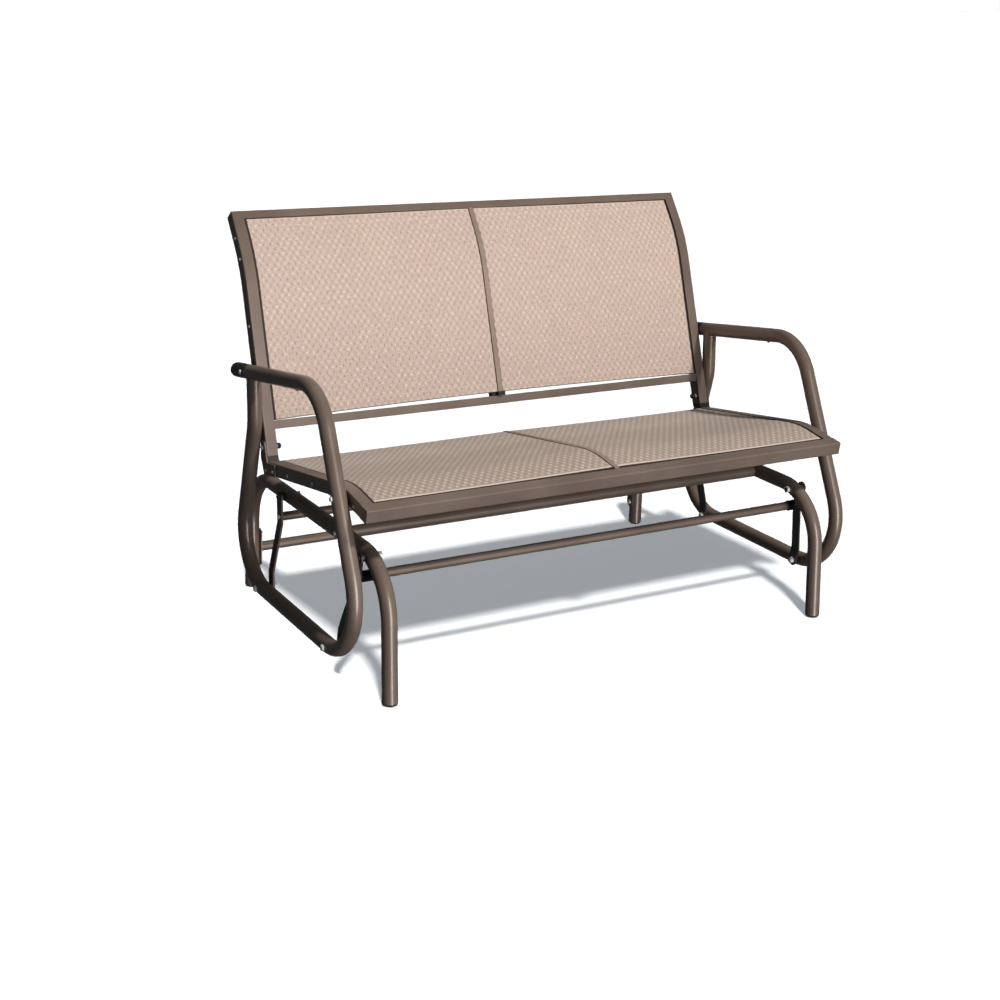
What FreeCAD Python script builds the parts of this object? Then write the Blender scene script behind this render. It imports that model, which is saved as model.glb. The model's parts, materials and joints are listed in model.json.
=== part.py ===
import FreeCAD, Part
import math
import os
from FreeCAD import Vector

# Two-seat glider bench with woven slings, in millimetres.
# +X runs along the bench, the front faces -Y, +Z is up.
# The origin lies on the floor in the middle between the four feet.

# Tubes of the base and of the side loops
tubeDiameter = 32.0
tubeWall = 1.5

# Base arches
archInset = 66.5
footSpacing = 726.0
archHeight = 280.0
archBend = 122.0
frontLegLean = 14.0
rearLegLean = 2.0

# Foot plugs
footHeight = 6.0
footEdge = 3.5
footTrim = 2.0
footWall = 2.5
footSpigot = 22.0

# Cross tubes of the base
upperCrossDiameter = 25.4
lowerCrossDiameter = 22.0
crossWall = 1.5
upperCrossY = -133.0
lowerCrossZ = 92.0
insertLength = 18.0
crossPlateThick = 3.0
crossPlateWidth = 25.0
crossBoltSpacing = 62.0

# Side loops: arm, front tube, bottom run, rear tube and upright
loopSpacing = 1181.0
armRear = (266.0, 535.5)
armFront = (-173.0, 599.0)
loopFrontY = -412.5
loopRearY = 266.0
kink = (168.5, 441.0)
uprightTopY = 173.0
armBend = 111.0
frontBend = 124.0
rearBend = 114.0
kinkBend = 123.0
armCapWall = 3.0
armCapSpigot = 20.0
armCapSetback = 4.0

# Links between the arches and the loops
frontPivotY = -268.0
rearPivotY = 140.5
linkLength = 195.0
frontLinkLean = 40.3
rearLinkLean = 10.2
linkWidth = 25.0
linkThick = 4.0
linkTopOffset = 5.0
linkBottomOffset = 3.0
linkTopFlat = 57.0
linkBottomFlat = 32.0
linkBend = 20.0
linkTubeDiameter = 19.0
linkTubeDrop = 44.0
sleeveLength = 65.0
sleeveWall = 2.0

# Fasteners
pivotBolt = 8.0
frameBolt = 6.0
railScrew = 4.0
headRatio = 1.85
headHeightRatio = 0.55
headEdgeRatio = 0.4
headTopRatio = 0.6
screwSides = 8
nutRatio = 0.8
nutCornerRatio = 0.92
boltProud = 2.0
openHoleGap = 2.6
bushWall = 1.8
flangeWidth = 5.5

# Clearances
runningGap = 0.08
movingGap = 0.3
seatGap = 0.2
boltGap = 0.2

# Rails of the seat and back frames
railWidth = 25.0
railWall = 1.8
seatRailHeight = 29.0
backRailDepth = 31.0
railRound = 3.0

# Seat frame profile, along the top of the side rails
seatFront = (-358.0, 399.3)
seatCrest = (-242.0, 418.6)
seatRear = (156.0, 359.7)
seatCrestBend = 260.0
frontRailDepth = 28.0
frontRailHeight = 28.0
rearRailDepth = 20.0
rearRailHeight = 22.0
rearRailDrop = 7.5

# Back frame profile, along the front of the side rails
backFoot = (141.0, 373.0)
backHeight = 865.5
backReach = 344.0
backRoll = (73.5, 99.0)
backBendRadius = 360.0
topRailHeight = 18.0
bottomRailHeight = 18.0
bottomRailDepth = 22.0
bottomRailRise = 56.0
bottomRailInset = 2.0
plugLength = 14.0

# Centre bars, a narrow face on a wider grooved body
barFace = 11.0
barRise = 3.0
barFaceDepth = 9.0
barBody = 34.0
barBodyDepth = 13.0
barCapHeight = 9.0
barCapWall = 1.0

# Slings and the grooves that hold their beads
slingThick = 1.6
slingDrop = 5.0
hemGap = 0.6
grooveSlot = 2.4
beadSize = 4.6
grooveSize = 5.4
seatSlingFrontGap = 9.0
seatSlingRearGap = 3.0
backSlingTopGap = 3.0
backSlingBottomGap = 10.0

# Rear brackets and knobs
bracketThick = 3.0
bracketFront = 92.0
bracketHead = 402.0
bracketRound = 4.0
bracketBoltRise = 14.0
knobRadius = 6.5
knobRim = 3.5
knobHeight = 9.0
knobBulge = (0.8, 0.75)
knobReach = 0.7

# Screws along the rails: places from the seat's front edge and below the back's top
screwInset = 18.0
backScrewShift = 3.0
seatScrewPlaces = (60.0, 259.0, 388.0)
backScrewDrops = (54.5, 95.5, 231.5)
bracketScrewFront = 12.0
bracketScrewRear = 14.0

tubeRadius = tubeDiameter / 2
loopX = loopSpacing / 2
archX = loopX - archInset
railOuterX = loopX - tubeRadius
railInnerX = railOuterX - railWidth
frontFootY = -footSpacing / 2
rearFootY = footSpacing / 2
archInnerX = archX - tubeRadius
archOuterX = archX + tubeRadius
linkTopX = archOuterX + linkTopOffset + linkThick / 2
linkBottomX = railOuterX - linkBottomOffset - linkThick / 2
backTop = (backReach, backHeight)
backBend = (backReach - backRoll[0], backHeight - backRoll[1])
sides = {"left": -1, "right": 1}

os.makedirs("parts", exist_ok=True)
nodes = {}


def keep(name, shape):
    solids = shape.Solids
    shape = solids[0] if len(solids) == 1 else Part.makeCompound(solids)
    nodes[name] = shape


# A route in the YZ plane: straight runs joined by tangent arcs
class Route:
    def __init__(self, corners, radii=()):
        self.legs = []
        point = corners[0]
        for before, corner, after, radius in zip(corners, corners[1:], corners[2:], radii):
            a = math.atan2(corner[1] - before[1], corner[0] - before[0])
            b = math.atan2(after[1] - corner[1], after[0] - corner[0])
            turn = (b - a + math.pi) % (2 * math.pi) - math.pi
            reach = radius * math.tan(abs(turn) / 2)
            start = (corner[0] - reach * math.cos(a), corner[1] - reach * math.sin(a))
            side = math.copysign(1, turn)
            centre = (start[0] - side * radius * math.sin(a), start[1] + side * radius * math.cos(a))
            self.legs.append(("line", point, start))
            self.legs.append(("arc", centre, radius, a, turn))
            point = (corner[0] + reach * math.cos(b), corner[1] + reach * math.sin(b))
        self.legs.append(("line", point, corners[-1]))

    def copy(self, legs):
        other = Route.__new__(Route)
        other.legs = legs
        return other

    # Shortens the first and the last straight run
    def trimmed(self, first, last):
        legs = list(self.legs)
        kind, p, q = legs[0]
        share = first / math.dist(p, q)
        legs[0] = (kind, (p[0] + (q[0] - p[0]) * share, p[1] + (q[1] - p[1]) * share), q)
        kind, p, q = legs[-1]
        share = last / math.dist(p, q)
        legs[-1] = (kind, p, (q[0] + (p[0] - q[0]) * share, q[1] + (p[1] - q[1]) * share))
        return self.copy(legs)

    # The same route moved to its left
    def shifted(self, offset):
        legs = []
        for leg in self.legs:
            if leg[0] == "line":
                p, q = leg[1], leg[2]
                d = math.dist(p, q)
                ny, nz = -(q[1] - p[1]) / d * offset, (q[0] - p[0]) / d * offset
                legs.append(("line", (p[0] + ny, p[1] + nz), (q[0] + ny, q[1] + nz)))
            else:
                centre, radius, a, turn = leg[1:]
                legs.append(("arc", centre, radius - math.copysign(offset, turn * offset), a, turn))
        return self.copy(legs)

    def edges(self, x=0.0):
        made = []
        for leg in self.legs:
            if leg[0] == "line":
                made.append(Part.makeLine(Vector(x, *leg[1]), Vector(x, *leg[2])))
            else:
                centre, radius, a, turn = leg[1:]
                r = math.copysign(radius, turn)
                places = []
                for share in (0, 0.5, 1):
                    t = a + turn * share
                    places.append(Vector(x, centre[0] + r * math.sin(t), centre[1] - r * math.cos(t)))
                made.append(Part.Arc(*places).toShape())
        return made

    # The other coordinate where the route crosses a Y (axis 0) or a Z (axis 1)
    def at(self, value, axis):
        for leg in self.legs:
            if leg[0] == "line":
                p, q = leg[1], leg[2]
                if min(p[axis], q[axis]) <= value <= max(p[axis], q[axis]) and p[axis] != q[axis]:
                    share = (value - p[axis]) / (q[axis] - p[axis])
                    return p[1 - axis] + (q[1 - axis] - p[1 - axis]) * share
            else:
                centre, radius, a, turn = leg[1:]
                r = math.copysign(radius, turn)
                ends = []
                for t in (a, a + turn):
                    ends.append((centre[0] + r * math.sin(t), centre[1] - r * math.cos(t)))
                if min(e[axis] for e in ends) <= value <= max(e[axis] for e in ends):
                    rise = math.sqrt(radius ** 2 - (value - centre[axis]) ** 2)
                    sign = math.copysign(1, ends[0][1 - axis] + ends[1][1 - axis] - 2 * centre[1 - axis])
                    return centre[1 - axis] + sign * rise
        raise ValueError("the route does not reach that place")


# A strip between two offsets of a route, as wide as two X values say
def band(route, near, far, xLow, xHigh):
    top = route.shifted(near).edges(xLow)
    low = route.shifted(far).edges(xLow)
    ends = [Part.makeLine(top[-1].Vertexes[-1].Point, low[-1].Vertexes[-1].Point),
            Part.makeLine(top[0].Vertexes[0].Point, low[0].Vertexes[0].Point)]
    wire = Part.Wire(Part.__sortEdges__(top + low + ends))
    return Part.Face(wire).extrude(Vector(xHigh - xLow, 0, 0))


def rod(radius, start, finish):
    axis = Vector(*finish) - Vector(*start)
    return Part.makeCylinder(radius, axis.Length, Vector(*start), axis)


# A round bar along a route, as straight pieces and bends
def bar(route, radius, x):
    pieces = []
    for leg in route.legs:
        if leg[0] == "line":
            pieces.append(rod(radius, (x,) + leg[1], (x,) + leg[2]))
        else:
            centre, bend, a, turn = leg[1:]
            r = math.copysign(bend, turn)
            start = Vector(x, centre[0] + r * math.sin(a), centre[1] - r * math.cos(a))
            ring = Part.Circle(start, Vector(0, math.cos(a), math.sin(a)), radius).toShape()
            disc = Part.Face(Part.Wire([ring]))
            piece = disc.revolve(Vector(x, *centre), Vector(1, 0, 0), math.degrees(turn))
            if piece.Volume < 0:
                piece.reverse()
            pieces.append(piece)
    return pieces[0].fuse(pieces[1:])


# A flat plate across X with two round ends
def stadium(xLow, xHigh, first, second, half):
    d = math.dist(first, second)
    hy, hz = (second[0] - first[0]) / d * half, (second[1] - first[1]) / d * half
    a, b = (first[0] - hz, first[1] + hy), (first[0] + hz, first[1] - hy)
    c, e = (second[0] + hz, second[1] - hy), (second[0] - hz, second[1] + hy)
    tail, nose = (first[0] - hy, first[1] - hz), (second[0] + hy, second[1] + hz)
    edges = [Part.Arc(Vector(xLow, *a), Vector(xLow, *tail), Vector(xLow, *b)).toShape(),
             Part.makeLine(Vector(xLow, *b), Vector(xLow, *c)),
             Part.Arc(Vector(xLow, *c), Vector(xLow, *nose), Vector(xLow, *e)).toShape(),
             Part.makeLine(Vector(xLow, *e), Vector(xLow, *a))]
    return Part.Face(Part.Wire(edges)).extrude(Vector(xHigh - xLow, 0, 0))


def box(low, high):
    return Part.makeBox(high[0] - low[0], high[1] - low[1], high[2] - low[2], Vector(*low))


def mirrored(shape):
    return shape.mirror(Vector(0, 0, 0), Vector(1, 0, 0))


# A turned piece: outline of (radius, height) pairs about an axis
def turned(outline, base, axis, arcs=()):
    edges = []
    for i, (p, q) in enumerate(zip(outline, outline[1:] + outline[:1])):
        a, b = Vector(p[0], 0, p[1]), Vector(q[0], 0, q[1])
        if i in arcs and a != b:
            bulge = arcs[i]
            edges.append(Part.Arc(a, Vector(bulge[0], 0, bulge[1]), b).toShape())
        elif a != b:
            edges.append(Part.makeLine(a, b))
    solid = Part.Face(Part.Wire(edges)).revolve(Vector(0, 0, 0), Vector(0, 0, 1), 360)
    if solid.Volume < 0:
        solid.reverse()
    solid.Placement = FreeCAD.Placement(Vector(*base), FreeCAD.Rotation(Vector(0, 0, 1), Vector(*axis)))
    return solid


# A bolt along X: headX is the seat of the low head, pointing away from tipX
def bolt(diameter, headX, tipX, y, z):
    head = diameter * headRatio / 2
    tall = diameter * headHeightRatio
    way = 1 if headX > tipX else -1
    outline = [(0, 0), (head, 0), (head, tall * headEdgeRatio), (head * headTopRatio, tall), (0, tall)]
    return rod(diameter / 2, (tipX, y, z), (headX, y, z)).fuse(turned(outline, (headX, y, z), (way, 0, 0)))


# A prism along X, its corners on a circle
def prism(sideCount, radius, xLow, xHigh, y, z):
    corners = []
    for i in range(sideCount + 1):
        t = 2 * math.pi * (i + 0.5) / sideCount
        corners.append(Vector(xLow, y + radius * math.cos(t), z + radius * math.sin(t)))
    return Part.Face(Part.makePolygon(corners)).extrude(Vector(xHigh - xLow, 0, 0))


# A small screw, its round forms as prisms
def screw(diameter, headX, tipX, y, z):
    top = headX + math.copysign(diameter * headHeightRatio, headX - tipX)
    shank = prism(screwSides, diameter / 2, *sorted((tipX, headX)), y, z)
    return shank.fuse(prism(screwSides, diameter * headRatio / 2, *sorted((headX, top)), y, z))


def hexNut(diameter, xLow, xHigh, y, z):
    block = prism(6, diameter * nutCornerRatio, xLow, xHigh, y, z)
    return block.cut(rod(diameter / 2 + runningGap, (xLow - 1, y, z), (xHigh + 1, y, z)))


# Pivot places. The front top pivot sits on the bend of the arch
archRoute = Route([(frontFootY, 0.0), (frontFootY + frontLegLean, archHeight),
                   (rearFootY - rearLegLean, archHeight), (rearFootY, 0.0)], [archBend, archBend])


def linkPlaces(topY, lean):
    topZ = archRoute.at(topY, 0)
    return (topY, topZ), (topY + lean, topZ - math.sqrt(linkLength ** 2 - lean ** 2))


frontTop, frontBottom = linkPlaces(frontPivotY, frontLinkLean)
rearTop, rearBottom = linkPlaces(rearPivotY, -rearLinkLean)
pivots = {"front": (frontTop, frontBottom), "rear": (rearTop, rearBottom)}


# Base: two bent arches, foot plugs and two bolted cross tubes
def rearLegY(z):
    return rearFootY - rearLegLean * z / archHeight


plateBolts = [(rearLegY(lowerCrossZ + way * crossBoltSpacing / 2), lowerCrossZ + way * crossBoltSpacing / 2)
              for way in (-1, 1)]


def holes(shape, places, diameter, x, reach):
    for y, z in places:
        shape = shape.cut(rod(diameter / 2 + boltGap, (x - reach, y, z), (x + reach, y, z)))
    return shape


def arch(way):
    x = way * archX
    route = archRoute.trimmed(footHeight, footHeight)
    shape = bar(route, tubeRadius, x).cut(bar(route, tubeRadius - tubeWall, x))
    shape = holes(shape, [frontTop, rearTop], pivotBolt, x, tubeDiameter)
    return holes(shape, plateBolts + [(upperCrossY, archHeight)], frameBolt, x, tubeDiameter)


# A plug that closes the leg's end, flat on the floor, with a hollow spigot in the tube
def footPlug(way, y, lean):
    spigot = tubeRadius - tubeWall - boltGap
    core = spigot - footWall
    top = footHeight + footSpigot
    axis = (0, -math.copysign(lean, y) / archHeight, 1)
    outline = [(0, -footTrim), (tubeRadius - footEdge - footTrim, -footTrim), (tubeRadius, footEdge),
               (tubeRadius, footHeight), (spigot, footHeight), (spigot, top), (core, top), (core, footHeight),
               (0, footHeight)]
    plug = turned(outline, (way * archX, y, 0), axis)
    return plug.common(box((way * archX - tubeDiameter, y - tubeDiameter, 0),
                           (way * archX + tubeDiameter, y + tubeDiameter, top + tubeDiameter)))


# A tube along X whose ends take a bolt each
def boltedTube(radius, half, y, z):
    tube = rod(radius, (-half, y, z), (half, y, z))
    tube = tube.cut(rod(radius - crossWall, (insertLength - half, y, z), (half - insertLength, y, z)))
    return tube.cut(rod(frameBolt / 2 + runningGap, (-half - 1, y, z), (half + 1, y, z)))


# A tube along X with a bolted plate at each end
def platedTube(radius, half, y, z):
    inner = half - crossPlateThick
    tube = rod(radius, (-inner, y, z), (inner, y, z))
    tube = tube.cut(rod(radius - crossWall, (-inner, y, z), (inner, y, z)))
    plates = []
    for low, high in ((-half, -inner), (inner, half)):
        plate = stadium(low, high, plateBolts[0], plateBolts[1], crossPlateWidth / 2)
        plates.append(holes(plate, plateBolts, frameBolt, low, crossPlateThick * 2))
    return tube.fuse(plates)


for side, way in sides.items():
    keep("base_arch_" + side, arch(way))
    keep("foot_cap_front_" + side, footPlug(way, frontFootY, frontLegLean))
    keep("foot_cap_rear_" + side, footPlug(way, rearFootY, rearLegLean))
keep("base_upper_crossbar", boltedTube(upperCrossDiameter / 2, archInnerX, upperCrossY, archHeight))
lowerCrossY = rearLegY(lowerCrossZ)
keep("base_lower_crossbar", platedTube(lowerCrossDiameter / 2, archInnerX, lowerCrossY, lowerCrossZ))

baseBolts = []
baseNuts = []
nutThick = frameBolt * nutRatio
crossTip = archInnerX - insertLength + boltProud
for way in (-1, 1):
    baseBolts.append(bolt(frameBolt, way * archOuterX, way * crossTip, upperCrossY, archHeight))
    inner = way * (archInnerX - crossPlateThick)
    for y, z in plateBolts:
        baseBolts.append(bolt(frameBolt, way * archOuterX, inner - way * (nutThick + boltProud), y, z))
        baseNuts.append(hexNut(frameBolt, *sorted((inner, inner - way * nutThick)), y, z))
keep("crossbar_bolts", Part.makeCompound(baseBolts))
keep("crossbar_nuts", Part.makeCompound(baseNuts))


# Links: cranked flat bars with round ends, joined in pairs by a cross tube
linkInnerTop = linkTopX - linkThick / 2
linkOuterTop = linkTopX + linkThick / 2
linkInnerBottom = linkBottomX - linkThick / 2
linkOuterBottom = linkBottomX + linkThick / 2
bushRadius = pivotBolt / 2 + runningGap + bushWall


def linkTubePlace(end):
    top, bottom = pivots[end]
    share = linkTubeDrop / linkLength
    return top[0] + (bottom[0] - top[0]) * share, top[1] + (bottom[1] - top[1]) * share


def link(end, way):
    top, bottom = pivots[end]
    half = linkWidth / 2
    crank = Route([(linkTopX, half), (linkTopX, -linkTopFlat), (linkBottomX, linkBottomFlat - linkLength),
                   (linkBottomX, -linkLength - half)], [linkBend, linkBend])
    plate = band(crank, linkThick / 2, -linkThick / 2, -half, half)
    plate.rotate(Vector(0, 0, 0), Vector(0, 0, 1), -90)
    low, high = linkTopX - linkWidth, linkBottomX + linkWidth
    plate = plate.common(stadium(low, high, (0, 0), (0, -linkLength), half))
    lowerHole = bushRadius if end == "front" else pivotBolt / 2 + openHoleGap
    plate = plate.cut(rod(bushRadius, (low, 0, 0), (high, 0, 0)))
    plate = plate.cut(rod(lowerHole, (low, 0, -linkLength), (high, 0, -linkLength)))
    plate = plate.cut(rod(frameBolt / 2 + boltGap, (low, 0, -linkTubeDrop), (high, 0, -linkTubeDrop)))
    lean = math.degrees(math.atan2(bottom[0] - top[0], top[1] - bottom[1]))
    plate.rotate(Vector(0, 0, 0), Vector(1, 0, 0), lean)
    plate.translate(Vector(0, top[0], top[1]))
    return plate if way > 0 else mirrored(plate)


# A plastic bush in the link's eye, with a flange against the tube that it turns on
def bush(way, eyeLow, eyeHigh, flangeLow, flangeHigh, y, z):
    body = rod(bushRadius, (eyeLow, y, z), (eyeHigh, y, z))
    body = body.fuse(rod(pivotBolt / 2 + flangeWidth, (flangeLow, y, z), (flangeHigh, y, z)))
    body = body.cut(rod(pivotBolt / 2 + runningGap, (eyeLow - linkWidth, y, z), (eyeHigh + linkWidth, y, z)))
    return body if way > 0 else mirrored(body)


linkTip = linkInnerTop - insertLength + boltProud
for end, (top, bottom) in pivots.items():
    bushes = []
    screws = []
    y, z = linkTubePlace(end)
    keep(end + "_link_tube", boltedTube(linkTubeDiameter / 2, linkInnerTop, y, z))
    for side, way in sides.items():
        keep(end + "_link_" + side, link(end, way))
        bushes.append(bush(way, linkInnerTop, linkOuterTop, archOuterX + movingGap, linkInnerTop, *top))
        if end == "front":
            bushes.append(bush(way, linkInnerBottom, linkOuterBottom, linkOuterBottom, railOuterX - movingGap,
                               *bottom))
        screws.append(bolt(frameBolt, way * linkOuterTop, way * linkTip, y, z))
    keep(end + "_link_bushes", Part.makeCompound(bushes))
    keep(end + "_link_screws", Part.makeCompound(screws))

# Black sleeves over both ends of the front link tube
sleeves = []
y, z = linkTubePlace("front")
sleeveBore = linkTubeDiameter / 2 + runningGap
for way in (-1, 1):
    ends = ((way * (linkInnerTop - sleeveLength), y, z), (way * linkInnerTop, y, z))
    sleeves.append(rod(sleeveBore + sleeveWall, *ends).cut(rod(sleeveBore, *ends)))
keep("front_link_sleeves", Part.makeCompound(sleeves))

topBolts = []
topNuts = []
bottomBolts = []
bottomNuts = []
pivotNut = pivotBolt * nutRatio
nutFace = linkInnerBottom - movingGap
for way in (-1, 1):
    for top, bottom in pivots.values():
        topTip = way * (archInnerX - pivotNut - boltProud)
        bottomTip = way * (nutFace - pivotNut - boltProud)
        topBolts.append(bolt(pivotBolt, way * (linkOuterTop + movingGap), topTip, *top))
        topNuts.append(hexNut(pivotBolt, *sorted((way * archInnerX, way * (archInnerX - pivotNut))), *top))
        bottomBolts.append(bolt(pivotBolt, way * (loopX + tubeRadius), bottomTip, *bottom))
        bottomNuts.append(hexNut(pivotBolt, *sorted((way * nutFace, way * (nutFace - pivotNut))), *bottom))
keep("link_top_bolts", Part.makeCompound(topBolts))
keep("link_top_nuts", Part.makeCompound(topNuts))
keep("link_bottom_bolts", Part.makeCompound(bottomBolts))
keep("link_bottom_nuts", Part.makeCompound(bottomNuts))

# Side loops. The bottom run goes through both lower pivots

def onLine(first, second, y):
    return first[1] + (second[1] - first[1]) * (y - first[0]) / (second[0] - first[0])


uprightTop = (uprightTopY, onLine(armRear, armFront, uprightTopY))
uprightFoot = (uprightTopY - 1.0, uprightTop[1] - tubeRadius * 2)
capStartY = uprightTopY + tubeRadius + armCapSetback
capStart = (capStartY, onLine(armRear, armFront, capStartY))
loopFront = (loopFrontY, onLine(frontBottom, rearBottom, loopFrontY))
loopRear = (loopRearY, onLine(frontBottom, rearBottom, loopRearY))
loopRoute = Route([capStart, armFront, loopFront, loopRear, kink, uprightFoot],
                  [armBend, frontBend, rearBend, kinkBend])

# Profiles of the seat from front to rear, and of the back from foot to top
seatRoute = Route([seatFront, seatCrest, seatRear], [seatCrestBend])
backRoute = Route([backFoot, backBend, backTop], [backBendRadius])
seatMiddle = seatRoute.shifted(-seatRailHeight / 2)
backMiddle = backRoute.shifted(-backRailDepth / 2)


def toward(first, second, distance):
    share = distance / math.dist(first, second)
    return first[0] + (second[0] - first[0]) * share, first[1] + (second[1] - first[1]) * share


seatBoltZ = seatMiddle.at(Route([armFront, loopFront]).at(seatCrest[1], 1), 0)
seatBolt = (Route([armFront, loopFront]).at(seatBoltZ, 1), seatBoltZ)
armBoltY = backMiddle.at(armRear[1], 1)
armBolt = (armBoltY, onLine(armRear, armFront, armBoltY))
bracketBoltZ = backFoot[1] + bracketBoltRise
bracketBolt = (backMiddle.at(bracketBoltZ, 1), bracketBoltZ)


def sideLoop(way):
    x = way * loopX
    bore = tubeRadius - tubeWall
    tube = bar(loopRoute, tubeRadius, x).fuse(rod(tubeRadius, (x,) + uprightFoot, (x,) + uprightTop))
    tube = tube.cut(bar(loopRoute, bore, x))
    boreTop = toward(uprightTop, uprightFoot, tubeRadius + tubeWall)
    tube = tube.cut(rod(bore, (x,) + uprightFoot, (x,) + boreTop))
    tube = holes(tube, [frontBottom, rearBottom], pivotBolt, x, tubeDiameter)
    return holes(tube, [seatBolt], frameBolt, x, tubeDiameter)


# Moulded cap that carries the arm on to its round rear end, with a spigot in the tube
def armCap(way):
    x = way * loopX
    hollow = tubeRadius - armCapWall
    far = toward(capStart, armFront, armCapSpigot)
    cap = rod(tubeRadius, (x,) + capStart, (x,) + armRear)
    cap = cap.fuse(Part.makeSphere(tubeRadius, Vector(x, *armRear)))
    cap = cap.fuse(rod(tubeRadius - tubeWall - boltGap, (x,) + far, (x,) + capStart))
    cap = cap.cut(rod(hollow, (x,) + far, (x,) + armRear))
    return holes(cap, [armBolt], frameBolt, x, tubeDiameter)


for side, way in sides.items():
    keep("side_loop_" + side, sideLoop(way))
    keep("arm_end_cap_" + side, armCap(way))

# A side rail: hollow, with a keyhole groove along its inner face for the sling's bead
slingMiddle = -(slingDrop + slingThick / 2)
grooveX = railInnerX + railWall


def sideRail(route, depth):
    rail = band(route, 0, -depth, railInnerX, railOuterX)
    outer = [edge for edge in rail.Edges if edge.BoundBox.XMin > railOuterX - 0.01
             and max(edge.BoundBox.YLength, edge.BoundBox.ZLength) > depth + 2]
    rail = rail.makeFillet(railRound, outer)
    rail = rail.cut(band(route, slingMiddle - grooveSize / 2 - railWall, railWall - depth,
                         grooveX, railOuterX - railWall))
    rail = rail.cut(band(route, slingMiddle + grooveSize / 2, slingMiddle - grooveSize / 2,
                         grooveX, grooveX + grooveSize))
    return rail.cut(band(route, slingMiddle + grooveSlot / 2, slingMiddle - grooveSlot / 2,
                         railInnerX - 1, grooveX + 1))


def railHoles(shape, places, diameter):
    return holes(shape, places, diameter, (railInnerX + railOuterX) / 2, railWidth)


seatScrewLine = seatRoute.shifted(-screwInset)
backScrewLine = backRoute.shifted(backScrewShift - backRailDepth / 2)
seatScrews = [(seatFront[0] + y, seatScrewLine.at(seatFront[0] + y, 0)) for y in seatScrewPlaces]
backScrews = [(backScrewLine.at(backTop[1] - drop, 1), backTop[1] - drop) for drop in backScrewDrops]
bracketScrews = [(y, seatScrewLine.at(y, 0)) for y in (bracketFront + bracketScrewFront,
                                                       seatRear[0] - bracketScrewRear)]

seatRail = sideRail(seatRoute.trimmed(frontRailDepth + seatGap, 0), seatRailHeight)
seatRail = railHoles(railHoles(seatRail, [seatBolt], frameBolt), seatScrews + bracketScrews, railScrew)

# The corner of back rail and top rail is mitred from the outer to the inner corner
backHeading = toward((0, 0), (backTop[0] - backBend[0], backTop[1] - backBend[1]), 1.0)


def atTop(x, along, depth):
    return Vector(x, backTop[0] + backHeading[0] * along + backHeading[1] * depth,
                  backTop[1] + backHeading[1] * along - backHeading[0] * depth)


def topBar(inset, depthLow, depthHigh):
    slope = railWidth / topRailHeight
    outer = railOuterX - inset * slope
    inner = railOuterX - (topRailHeight - inset) * slope
    low = inset - topRailHeight
    corners = [(-outer, -inset), (outer, -inset), (inner, low), (-inner, low)]
    points = [atTop(x, along, depthLow) for x, along in corners]
    push = atTop(0, 0, depthHigh) - atTop(0, 0, depthLow)
    return Part.Face(Part.makePolygon(points + points[:1])).extrude(push)


backRail = railHoles(sideRail(backRoute, backRailDepth), [bracketBolt, armBolt], frameBolt)
backRail = railHoles(backRail, backScrews, railScrew)
backRail = backRail.cut(topBar(-seatGap / 2, -5, backRailDepth + 5))

for side, way in sides.items():
    keep("seat_side_rail_" + side, seatRail if way > 0 else mirrored(seatRail))
    keep("back_side_rail_" + side, backRail if way > 0 else mirrored(backRail))
keep("back_top_rail", topBar(0, 0, backRailDepth).cut(topBar(railWall, railWall, backRailDepth - railWall)))


# A hollow rail along X, with its section to the right of a short straight route
def crossRail(first, second, depth, half, endWall, rounded):
    route = Route([first, second])
    rail = band(route, 0, -depth, -half, half)
    if rounded:
        face = [edge for edge in rail.Edges if edge.BoundBox.XLength > half
                and edge.BoundBox.YMin < rail.BoundBox.YMin + depth / 2]
        rail = rail.makeFillet(railRound, face)
    inner = half - endWall
    return rail.cut(band(route.trimmed(railWall, railWall), -railWall, railWall - depth, -inner, inner))


crossHalf = railInnerX - seatGap / 2
keep("seat_front_rail", crossRail(seatFront, toward(seatFront, seatCrest, frontRailDepth), frontRailHeight,
                                  railOuterX, railWall, True))
rearLine = seatRoute.shifted(-rearRailDrop).legs[-1]
keep("seat_rear_rail", crossRail(toward(rearLine[2], rearLine[1], rearRailDepth), rearLine[2], rearRailHeight,
                                 crossHalf, -1, False))
lowLine = backRoute.shifted(-bottomRailInset).legs[0]
keep("back_bottom_rail", crossRail(toward(lowLine[1], lowLine[2], bottomRailRise),
                                   toward(lowLine[1], lowLine[2], bottomRailRise + bottomRailHeight),
                                   bottomRailDepth, crossHalf, -1, False))

# Centre bars hold the inner hems of the slings in two grooves
hemX = barFace / 2 + hemGap
hemMiddle = hemX + slingThick / 2
barBeadMiddle = -(barFaceDepth + railWall + grooveSize / 2)


def centreBar(route):
    strut = band(route, barRise, -barFaceDepth - 1, -barFace / 2, barFace / 2)
    strut = strut.fuse(band(route, -barFaceDepth, -barFaceDepth - barBodyDepth, -barBody / 2, barBody / 2))
    for way in (-1, 1):
        slot = sorted((way * (hemMiddle - grooveSlot / 2), way * (hemMiddle + grooveSlot / 2)))
        chamber = sorted((way * (hemMiddle - grooveSize / 2), way * (hemMiddle + grooveSize / 2)))
        strut = strut.cut(band(route, 1 - barFaceDepth, barBeadMiddle, *slot))
        strut = strut.cut(band(route, barBeadMiddle + grooveSize / 2, barBeadMiddle - grooveSize / 2,
                               *chamber))
    return strut


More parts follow.
